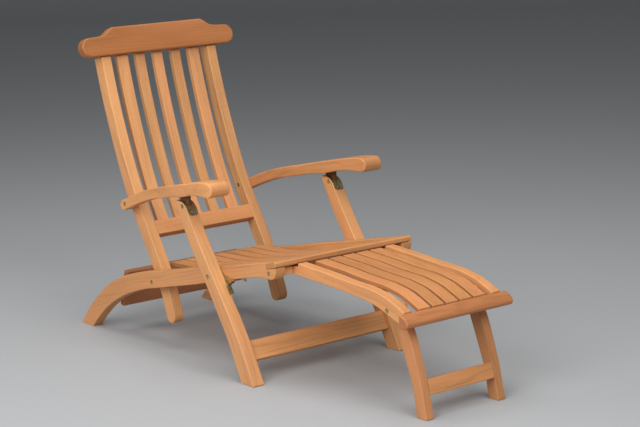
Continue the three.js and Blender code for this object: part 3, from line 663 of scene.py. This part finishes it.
def board(node, radius, normal=X_AXIS, ease=CAD_EASE, corner=OUTLINE_CORNER):
    """A sawn board with a node's outline and thickness and edges rounded to a radius."""
    solid = welded(node)
    levels = [v.co.dot(normal) for v in solid.verts]
    low, high = min(levels), max(levels)
    outline = flowing(loop_at(solid, normal, high - ease), radius * corner)
    solid.free()
    across, up = plane_axes(normal)
    limits = [min(limit, radius) for limit in room(outline)]
    mesh = bmesh.new()
    # Per vertex: how far it lies into a rounded edge, which is lightened partly as wear and partly
    # as a painted highlight, and how far onto the two faces across the normal, which are the faces
    # between slats and take painted shade.
    arris = mesh.verts.layers.float.new("arris")
    flank_shade = mesh.verts.layers.float.new("flank_shade")
    rings = []
    stations = [(-1, 1 - k / ARRIS_STEPS) for k in range(ARRIS_STEPS + 1)]
    stations += [(1, k / ARRIS_STEPS) for k in range(ARRIS_STEPS + 1)]
    for end, share in stations:
        angle = share * math.pi / 2
        face = high if end > 0 else low
        level = face - end * radius * (1 - math.sin(angle))
        ring = []
        for point in inset(outline, 1 - math.cos(angle), limits):
            vertex = mesh.verts.new(across * point.x + up * point.y + normal * level)
            vertex[arris] = math.sin(2 * angle)
            vertex[flank_shade] = share
            ring.append(vertex)
        rings.append(ring)
    bridge(mesh, rings)
    mesh.faces.new(rings[0][::-1])
    mesh.faces.new(rings[-1])
    bmesh.ops.remove_doubles(mesh, verts=mesh.verts, dist=FINE_WELD)
    return to_piece(mesh, f"{node}_wood", node)


def seat_cutter(place, face, way):
    """A cylinder that sinks a bolt's seat into a face, which looks along X by the sign of way."""
    mesh = turned([
        (-SEAT_DEPTH, 0), (-SEAT_DEPTH, SEAT_RADIUS), (OVERRUN, SEAT_RADIUS), (OVERRUN, 0),
    ])
    bmesh.ops.scale(mesh, vec=(way, 1, 1), verts=mesh.verts)
    bmesh.ops.translate(mesh, vec=(face, place.y, place.z), verts=mesh.verts)
    return mesh


def middle_of(node):
    low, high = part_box(node)
    return (low + high) / 2


def seats(bolts, side):
    """The cutters for the bolts whose heads lie in a piece: (bolt, which end) pairs."""
    tools = []
    for bolt, end in bolts:
        node = f"{bolt}_{side}"
        low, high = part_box(node)
        way = SIDES[side] * end
        tools.append(seat_cutter(middle_of(node), high.x if way > 0 else low.x, way))
    return tools


# The bolts whose heads show in each kind of side piece: 1 for the outer end, -1 for the inner.
SEATS = {
    "side_rail": [("back_pivot_bolt", 1), ("leg_pivot_bolt", -1), ("footrest_pivot_bolt", 1)],
    "stile": [("back_pivot_bolt", -1), ("arm_pivot_bolt", -1)],
    "front_leg": [("leg_pivot_bolt", 1), ("arm_pin", 1)],
    "footrest_rail": [("footrest_pivot_bolt", -1), ("footrest_leg_bolt", 1)],
    "footrest_leg": [("footrest_leg_bolt", -1)],
}


def make_side_pieces():
    for side in SIDES:
        for kind, radius in SIDE_RADII.items():
            corner = RAIL_CORNER if kind == "side_rail" else OUTLINE_CORNER
            piece = board(f"{kind}_{side}", radius, corner=corner)
            cutters = seats(SEATS[kind], side)
            if kind == "front_leg":
                cutters += fork_cutters(side)
            carve(piece, cutters)


def fork_cutters(side):
    """The slot for the arm's tongue and the seat of the pin's inner head."""
    low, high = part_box(f"front_leg_{side}")
    pin = middle_of(f"arm_pin_{side}")
    middle = (low.x + high.x) / 2
    half = TONGUE_THICKNESS / 2 + TONGUE_GAP
    slot = box_mesh((middle - half, low.y - OVERRUN, high.z - FORK_DEPTH),
                    (middle + half, high.y + OVERRUN, high.z + OVERRUN))
    inner = low.x if side == "left" else high.x
    return [slot, seat_cutter(pin, inner, -SIDES[side])]


def make_boards():
    for i in range(SEAT_SLATS):
        board(f"seat_slat_{i + 1}", SLAT_RADIUS)
    for i in range(LONG_SLATS):
        board(f"back_slat_{i + 1}", BACK_SLAT_RADIUS)
        board(f"footrest_slat_{i + 1}", SLAT_RADIUS)
    for node in BATTENS:
        board(node, BATTEN_RADIUS)
    for node in CROSS_RAILS:
        board(node, CROSS_RAIL_RADIUS)
    board("front_rail", SLAT_RADIUS)
    board("footrest_end_rail", NOSING_RADIUS)
    board("head_rail", HEAD_RAIL_RADIUS, normal=widest_normal("head_rail"), ease=HEAD_EASE)


def widest_normal(node):
    """The direction that a node's largest flat face looks along."""
    mesh = welded(node)
    face = max(mesh.faces, key=lambda f: f.calc_area())
    normal = face.normal.copy()
    mesh.free()
    return normal


def arm_stations(node):
    """The sections of a solid arm from rear to front: y, then low and high x and z."""
    mesh = welded(node)
    levels = {}
    for vertex in mesh.verts:
        levels.setdefault(round(vertex.co.y / (2 * WELD)), []).append(vertex.co.copy())
    mesh.free()
    rows = []
    for points in levels.values():
        if len(points) >= SECTION_POINTS:
            xs, zs = [p.x for p in points], [p.z for p in points]
            rows.append((points[0].y, min(xs), max(xs), min(zs), max(zs)))
    return sorted(rows, reverse=True)


def arm_row(rows, y):
    """The arm's section at a place between the solid's own, on a smooth curve through them."""
    places = [-row[0] for row in rows]
    i = max(min(np.searchsorted(places, -y) - 1, len(rows) - 3), 1)
    near = rows[i - 1:i + 3]
    values = []
    for column in range(1, 5):
        total = 0
        for a, one in enumerate(near):
            weight = 1
            for b, other in enumerate(near):
                if a != b:
                    weight *= (y - other[0]) / (one[0] - other[0])
            total += weight * one[column]
        values.append(total)
    return values


def make_arm(side):
    node = f"arm_{side}"
    rows = arm_stations(node)
    tail = middle_of(f"arm_pivot_bolt_{side}").y + ARM_TAIL
    nose = rows[-1][0] + ARM_NOSE_LENGTH * math.sin(math.radians(ARM_NOSE_TURN))
    body = [row for row in rows if nose - WELD <= row[0] <= tail + WELD]
    mesh = bmesh.new()
    arris = mesh.verts.layers.float.new("arris")
    rings = []
    for y in arm_places(tail, nose, ARM_PARTS * len(body)):
        inner, outer, low, high = arm_row(body, min(max(y, nose), tail))
        past = max(nose - y, 0) / ARM_NOSE_LENGTH
        short = max(y - tail, 0) / ARM_END_RADIUS
        swell = math.sqrt(1 - past * past) * math.sqrt(1 - short * short)
        middle, half = (low + high) / 2, (high - low) / 2 * swell
        trim = (outer - inner) * ARM_NOSE_TRIM * (1 - math.sqrt(1 - past * past))
        ring = []
        for point, edge in arm_section(inner + trim, outer - trim, middle - half, middle + half):
            vertex = mesh.verts.new((point.x, y, point.y))
            vertex[arris] = edge
            ring.append(vertex)
        rings.append(ring)
    bridge(mesh, rings)
    mesh.faces.new(rings[0])
    mesh.faces.new(rings[-1])
    piece = to_piece(mesh, f"{node}_wood", node, sharp=ARM_SHARP)
    carve(piece, seats([("arm_pivot_bolt", 1)], side), sharp=ARM_SHARP)
    make_tongue(side)


def arm_places(tail, nose, count):
    """Where the arm is cut into sections, close together at its round rear end and nose."""
    def turn(step):
        return math.sin(math.radians(ARM_END_TURN) * step / ARM_END_STEPS)

    places = [tail + ARM_END_RADIUS * turn(step) for step in range(ARM_END_STEPS, 0, -1)]
    places += [tail + (nose - tail) * i / count for i in range(count + 1)]
    places += [nose - ARM_NOSE_LENGTH * turn(step) for step in range(1, ARM_END_STEPS + 1)]
    return places


def arm_section(left, right, low, high):
    """The points of an arm's section and how far each lies into a rounded edge."""
    limit = ARM_CORNER_SHARE * (high - low)
    corners = [
        (right, low, -90, ARM_UNDER_CORNER, -1, 1), (right, high, 0, ARM_TOP_CORNER, -1, -1),
        (left, high, 90, ARM_TOP_CORNER, 1, -1), (left, low, 180, ARM_UNDER_CORNER, 1, 1),
    ]
    points = []
    for x, z, start, radius, inward, upward in corners:
        size = min(radius, limit)
        centre = Vector((x + inward * size, z + upward * size))
        for step in range(2 * CORNER_STEPS + 1):
            share = step / (2 * CORNER_STEPS)
            angle = math.radians(start + 90 * share)
            point = centre + size * Vector((math.cos(angle), math.sin(angle)))
            points.append((point, math.sin(math.pi * share)))
    return points


def make_tongue(side):
    """The tongue under the arm that stands in the front leg's fork, its teak darkened as painted
    shade.
    """
    pin = middle_of(f"arm_pin_{side}")
    low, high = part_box(f"front_leg_{side}")
    middle = (low.x + high.x) / 2
    root = pin.z + PIN_DROP
    rise = min(root + TONGUE_RISE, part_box(f"arm_{side}")[1].z - TONGUE_COVER)
    outline = []
    for step in range(TONGUE_STEPS + 1):
        angle = math.pi * (1 + step / TONGUE_STEPS)
        round_end = TONGUE_RADIUS * Vector((math.cos(angle), math.sin(angle)))
        outline.append(Vector((pin.y, pin.z)) + round_end)
    outline += [Vector((pin.y + TONGUE_TAIL, root)), Vector((pin.y + TONGUE_TAIL, rise)),
                Vector((pin.y - TONGUE_RADIUS, rise))]
    mesh = bmesh.new()
    arris = mesh.verts.layers.float.new("arris")
    rings = []
    for level, drawn in ((-1, TONGUE_EASE), (-1, 0), (1, 0), (1, TONGUE_EASE)):
        x = middle + level * (TONGUE_THICKNESS / 2 - (0 if drawn else TONGUE_EASE))
        ring = [mesh.verts.new((x, p.x, p.y)) for p in inset(outline, drawn)]
        for vertex in ring:
            vertex[arris] = 0.5
        rings.append(ring)
    bridge(mesh, rings)
    mesh.faces.new(rings[0][::-1])
    mesh.faces.new(rings[-1])
    to_piece(mesh, f"arm_tongue_{side}", f"arm_{side}", stands_for=False, depth=TONGUE_SHADE)


def head_profile(start, way):
    """A bolt head's profile from its face at start towards its neck."""
    back = start - way * HEAD_HEIGHT
    return [(start, 0), (start, HEAD_RADIUS * HEAD_FLAT_SHARE),
            (start - way * HEAD_CROWN, HEAD_RADIUS * HEAD_SLOPE_SHARE),
            (start - way * 3 * HEAD_CROWN, HEAD_RADIUS), (back, HEAD_RADIUS), (back, SHANK_RADIUS)]


def slot_cutter(place, face, way, lean):
    """A bar that cuts a screwdriver's slot into a head, turned by an angle."""
    half = HEAD_RADIUS + OVERRUN
    mesh = box_mesh((-SLOT_DEPTH, -half, -SLOT_WIDTH / 2), (OVERRUN, half, SLOT_WIDTH / 2))
    bmesh.ops.scale(mesh, vec=(way, 1, 1), verts=mesh.verts)
    bmesh.ops.rotate(mesh, matrix=Matrix.Rotation(lean, 3, "X"), verts=mesh.verts)
    bmesh.ops.translate(mesh, vec=(face, place.y, place.z), verts=mesh.verts)
    return mesh


def make_bolt(node, ends):
    """A bolt with slotted heads at one end or both: -1 for its low end along X, 1 for its high."""
    low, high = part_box(node)
    place = (low + high) / 2
    first = head_profile(low.x, -1) if -1 in ends else [(low.x, 0), (low.x, SHANK_RADIUS)]
    last = head_profile(high.x, 1) if 1 in ends else [(high.x, 0), (high.x, SHANK_RADIUS)]
    mesh = turned(first + last[::-1])
    bmesh.ops.translate(mesh, vec=(0, place.y, place.z), verts=mesh.verts)
    piece = to_piece(mesh, f"{node}_turned", node, sharp=TURNED_SHARP)
    faces = {-1: low.x, 1: high.x}
    slots = [slot_cutter(place, faces[end], end, random.uniform(0, math.pi)) for end in ends]
    carve(piece, slots, sharp=TURNED_SHARP)


def make_bolts():
    for side, way in SIDES.items():
        for kind in ("back_pivot_bolt", "leg_pivot_bolt", "arm_pivot_bolt", "footrest_pivot_bolt",
                     "footrest_leg_bolt"):
            make_bolt(f"{kind}_{side}", (-1, 1))
        make_bolt(f"arm_pin_{side}", (way,))
        make_inner_head(side)


def make_inner_head(side):
    """The head of the arm's pin on the leg's inner cheek."""
    node = f"arm_pin_{side}"
    low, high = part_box(f"front_leg_{side}")
    way = -SIDES[side]
    face = low.x if side == "left" else high.x
    place = middle_of(node)
    mesh = turned(head_profile(face, way)[:-1] + [(face - way * HEAD_HEIGHT, 0)])
    bmesh.ops.translate(mesh, vec=(0, place.y, place.z), verts=mesh.verts)
    name = f"arm_pin_inner_head_{side}"
    piece = to_piece(mesh, name, node, sharp=TURNED_SHARP, stands_for=False)
    slot = slot_cutter(place, face, way, random.uniform(0, math.pi))
    carve(piece, [slot], sharp=TURNED_SHARP)


def strap_line(node):
    """A strap's outer line from its lower end up and back, as (y, z) points, and its thickness."""
    mesh = welded(node)
    high = max(v.co.x for v in mesh.verts)
    loop = loop_at(mesh, X_AXIS, high)
    mesh.free()
    count = len(loop)
    short = sorted(range(count), key=lambda i: (loop[(i + 1) % count] - loop[i]).length)
    lowest = min(range(count), key=lambda i: loop[i].y)
    low_edge = min(short[:SHORT_EDGES], key=lambda i: (loop[i] - loop[lowest]).length)
    thickness = (loop[(low_edge + 1) % count] - loop[low_edge]).length
    ordered = [loop[(low_edge + 1 + i) % count] for i in range(count)]
    half = count // 2
    one, two = ordered[:half], ordered[half:][::-1]
    outer = one if sum(p.x for p in one) < sum(p.x for p in two) else two
    return outer, thickness


def resampled(points, count):
    """Even points along an open line."""
    reach = [0]
    for a, b in zip(points, points[1:]):
        reach.append(reach[-1] + (b - a).length)
    xs = np.interp(np.linspace(0, reach[-1], count), reach, [p.x for p in points])
    ys = np.interp(np.linspace(0, reach[-1], count), reach, [p.y for p in points])
    line = [Vector(pair) for pair in zip(xs, ys)]
    for _ in range(LINE_PASSES):
        middle = [(a + 2 * b + c) / 4 for a, b, c in zip(line, line[1:], line[2:])]
        line = [line[0], *middle, line[-1]]
    return line, reach[-1]


def make_strap(side):
    """A brass strip bent over the top of a front leg, with a round lower end and a screw."""
    node = f"leg_strap_{side}"
    low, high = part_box(node)
    outer, thickness = strap_line(node)
    line, length = resampled(outer, STRAP_ROWS)
    middle, half = (low.x + high.x) / 2, (high.x - low.x) / 2
    mesh = bmesh.new()
    top, under = [], []
    for i, point in enumerate(line):
        way = (line[min(i + 1, STRAP_ROWS - 1)] - line[max(i - 1, 0)]).normalized()
        inward = Vector((way.y, -way.x))
        gone = length * i / (STRAP_ROWS - 1)
        width = half
        if gone < STRAP_CORNER:
            width -= STRAP_CORNER - math.sqrt(STRAP_CORNER ** 2 - (STRAP_CORNER - gone) ** 2)
        for sheet, drop in ((top, 0), (under, thickness)):
            spot = point + inward * drop
            shares = [2 * j / STRAP_COLUMNS - 1 for j in range(STRAP_COLUMNS + 1)]
            sheet.append([mesh.verts.new((middle + width * share, spot.x, spot.y))
                          for share in shares])
    close_sheet(mesh, top, under)
    piece = to_piece(mesh, f"{node}_sheet", node, sharp=TURNED_SHARP)
    pin = middle_of(f"arm_pin_{side}")
    slot_half = TONGUE_THICKNESS / 2 + TONGUE_GAP
    reach = TONGUE_RADIUS + TONGUE_GAP
    slot = box_mesh((middle - slot_half, pin.y - reach, pin.z),
                    (middle + slot_half, high.y + OVERRUN, high.z + OVERRUN))
    carve(piece, [slot], sharp=TURNED_SHARP)
    bevel = piece.modifiers.new("edges", "BEVEL")
    bevel.width = BRASS_EDGE
    bevel.segments = 2
    bevel.limit_method = "ANGLE"
    bevel.angle_limit = math.radians(BRASS_EDGE_ANGLE)
    piece.modifiers.move(1, 0)
    make_strap_screw(side, line, length, middle)


def close_sheet(mesh, top, under):
    """Joins two grids of vertices into a closed sheet."""
    rows, columns = len(top), len(top[0])
    for grid in (top, under):
        for one, two in zip(grid, grid[1:]):
            for j in range(columns - 1):
                mesh.faces.new((one[j], one[j + 1], two[j + 1], two[j]))
    for i in range(rows - 1):
        for j in (0, columns - 1):
            mesh.faces.new((top[i][j], top[i + 1][j], under[i + 1][j], under[i][j]))
    for i in (0, rows - 1):
        for j in range(columns - 1):
            mesh.faces.new((top[i][j], top[i][j + 1], under[i][j + 1], under[i][j]))


def make_strap_screw(side, line, length, middle):
    """The screw with a crossed slot that holds a strap's lower end."""
    i = round(STRAP_SCREW_RISE / length * (len(line) - 1))
    way = (line[i + 1] - line[i - 1]).normalized()
    outward = Vector((0, -way.y, way.x))
    if outward.y > 0:
        outward = -outward
    place = Matrix.Translation((middle, line[i].x, line[i].y))
    place = place @ X_AXIS.rotation_difference(outward).to_matrix().to_4x4()
    radius, height = STRAP_SCREW_RADIUS, STRAP_SCREW_HEIGHT
    face = [(height * rise, radius * share) for rise, share in STRAP_SCREW_FACE]
    mesh = turned([(-height, 0), (-height, radius), *face])
    bmesh.ops.transform(mesh, matrix=place, verts=mesh.verts)
    slots = []
    for lean in (STRAP_SCREW_LEAN, STRAP_SCREW_LEAN + math.pi / 2):
        reach = radius * SCREW_SLOT_REACH
        slot = box_mesh((height * SCREW_SLOT_FLOOR, -reach, -SCREW_SLOT_HALF),
                        (height * 2, reach, SCREW_SLOT_HALF))
        bmesh.ops.rotate(slot, matrix=Matrix.Rotation(lean, 3, "X"), verts=slot.verts)
        bmesh.ops.transform(slot, matrix=place, verts=slot.verts)
        slots.append(slot)
    name, node = f"leg_strap_screw_{side}", f"leg_strap_{side}"
    piece = to_piece(mesh, name, node, sharp=TURNED_SHARP, stands_for=False)
    carve(piece, slots, sharp=TURNED_SHARP)


def ease_edges(mesh, least, clamp):
    """Rounds a folded sheet's edges that turn by more than an angle."""
    edges = [e for e in mesh.edges
             if len(e.link_faces) == 2 and e.calc_face_angle() > math.radians(least)]
    bmesh.ops.bevel(mesh, geom=edges, offset=BRASS_EDGE, segments=2, affect="EDGES", profile=0.5,
                    clamp_overlap=clamp)


def make_stop(side):
    """The brass stop bracket, as its solid with folded, rounded edges."""
    node = f"leg_stop_{side}"
    mesh = welded(node)
    bmesh.ops.dissolve_limit(mesh, angle_limit=math.radians(1), verts=mesh.verts, edges=mesh.edges)
    ease_edges(mesh, STOP_EDGE_ANGLE, clamp=True)
    to_piece(mesh, f"{node}_sheet", node, sharp=TURNED_SHARP)


def make_stop_finger(side):
    """The end of the stop's shelf, bent down past the inner edge of the side rail."""
    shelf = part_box(f"leg_stop_{side}")
    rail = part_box(f"side_rail_{side}")
    way = SIDES[side]
    inner = shelf[0].x if way > 0 else shelf[1].x
    face = rail[0].x if way > 0 else rail[1].x
    tip = stop_tip(side)
    reach = abs(inner - face) + FINGER_PAST
    knee = FINGER_BEND - reach
    line = [Vector((FINGER_ROOT, 0)), Vector((knee, 0))]
    for step in range(1, FINGER_STEPS + 1):
        angle = math.pi / 2 * step / FINGER_STEPS
        line.append(Vector((knee - FINGER_BEND * math.sin(angle),
                            -FINGER_BEND * (1 - math.cos(angle)))))
    line.append(Vector((-reach, -FINGER_BEND - FINGER_DROP)))
    mesh = bmesh.new()
    rings = []
    for i, point in enumerate(line):
        ahead = (line[min(i + 1, len(line) - 1)] - line[max(i - 1, 0)]).normalized()
        under = point + FINGER_SHEET * Vector((-ahead.y, ahead.x))
        corners = [(point, 0), (point, 1), (under, 1), (under, 0)]
        rings.append([mesh.verts.new((inner + way * spot.x, tip.y + FINGER_WIDTH * end,
                                      tip.z + spot.y)) for spot, end in corners])
    bridge(mesh, rings)
    mesh.faces.new(rings[0])
    mesh.faces.new(rings[-1])
    ease_edges(mesh, FINGER_EDGE_ANGLE, clamp=False)
    name, node = f"leg_stop_finger_{side}", f"leg_stop_{side}"
    to_piece(mesh, name, node, sharp=TURNED_SHARP, stands_for=False)


def stop_tip(side):
    """The lowest corner at the front of the stop's shelf."""
    points = [v.co for v in frame["nodes"][f"leg_stop_{side}"].data.vertices]
    front = min(point.y for point in points)
    tip = [point for point in points if point.y < front + WELD]
    return min(tip, key=lambda point: point.z).copy()


def make_brass():
    make_bolts()
    for side in SIDES:
        make_strap(side)
        make_stop(side)
        make_stop_finger(side)


# The wall stands far enough off that no view from round the chair looks through it.
FLOOR_REACH = 24.0
FLOOR_COLOR = (0.38, 0.385, 0.39)
FLOOR_ROUGHNESS = 0.7
SWEEP_RADIUS = 4.0
SWEEP_START = 11.0
SWEEP_STEPS = 16
WALL_HEIGHT = 12.0


def make_stage():
    """A plain pale floor that sweeps up into a plain wall far behind."""
    mesh = bmesh.new()
    yaw = math.radians(CAMERA_YAW)
    ahead = Vector((math.sin(yaw), math.cos(yaw), 0))
    right = Vector((ahead.y, -ahead.x, 0))
    profile = [(-FLOOR_REACH, 0), (SWEEP_START, 0)]
    for step in range(1, SWEEP_STEPS + 1):
        angle = math.pi / 2 * step / SWEEP_STEPS
        profile.append((SWEEP_START + SWEEP_RADIUS * math.sin(angle),
                        SWEEP_RADIUS * (1 - math.cos(angle))))
    profile.append((SWEEP_START + SWEEP_RADIUS, WALL_HEIGHT))
    rows = []
    for along, height in profile:
        rows.append([mesh.verts.new(ahead * along + right * reach + Z_AXIS * height)
                     for reach in (-FLOOR_REACH, FLOOR_REACH)])
    for one, two in zip(rows, rows[1:]):
        mesh.faces.new((one[0], one[1], two[1], two[0]))
    data = bpy.data.meshes.new("floor")
    mesh.to_mesh(data)
    mesh.free()
    data.shade_smooth()
    floor = bpy.data.objects.new("floor", data)
    bpy.context.scene.collection.objects.link(floor)
    graph = Graph("floor")
    graph.shader.inputs["Base Color"].default_value = (*FLOOR_COLOR, 1)
    graph.shader.inputs["Roughness"].default_value = FLOOR_ROUGHNESS
    data.materials.append(graph.material)


# Softboxes: place, size, power in watts.
LIGHTS = {
    "key": ((-3.4, -1.6, 2.6), 3.0, 146),
    "front": ((-0.5, -3.5, 3.3), 2.2, 86),
    "left_rear": ((-3.4, 2.2, 2.2), 2.2, 30),
    "top": ((-0.3, 0.1, 4.2), 2.6, 76),
}
LIGHT_AIM = Vector((0, 0, 0.35))
WORLD_COLOR = (0.9, 0.95, 1.0)
WORLD_STRENGTH = 0.2


def make_lights():
    for name, (place, size, power) in LIGHTS.items():
        data = bpy.data.lights.new(name, "AREA")
        data.shape = "SQUARE"
        data.size = size
        data.energy = power
        light = bpy.data.objects.new(name, data)
        light.location = place
        light.rotation_euler = (LIGHT_AIM - Vector(place)).to_track_quat("-Z", "Y").to_euler()
        bpy.context.scene.collection.objects.link(light)
    world = bpy.data.worlds.new("studio")
    world.use_nodes = True
    background = world.node_tree.nodes["Background"]
    background.inputs["Color"].default_value = (*WORLD_COLOR, 1)
    background.inputs["Strength"].default_value = WORLD_STRENGTH
    bpy.context.scene.world = world
    bpy.context.scene.view_settings.view_transform = "Standard"


make_camera()
make_side_pieces()
make_boards()
for arm_side in SIDES:
    make_arm(arm_side)
make_brass()
make_stage()
make_lights()
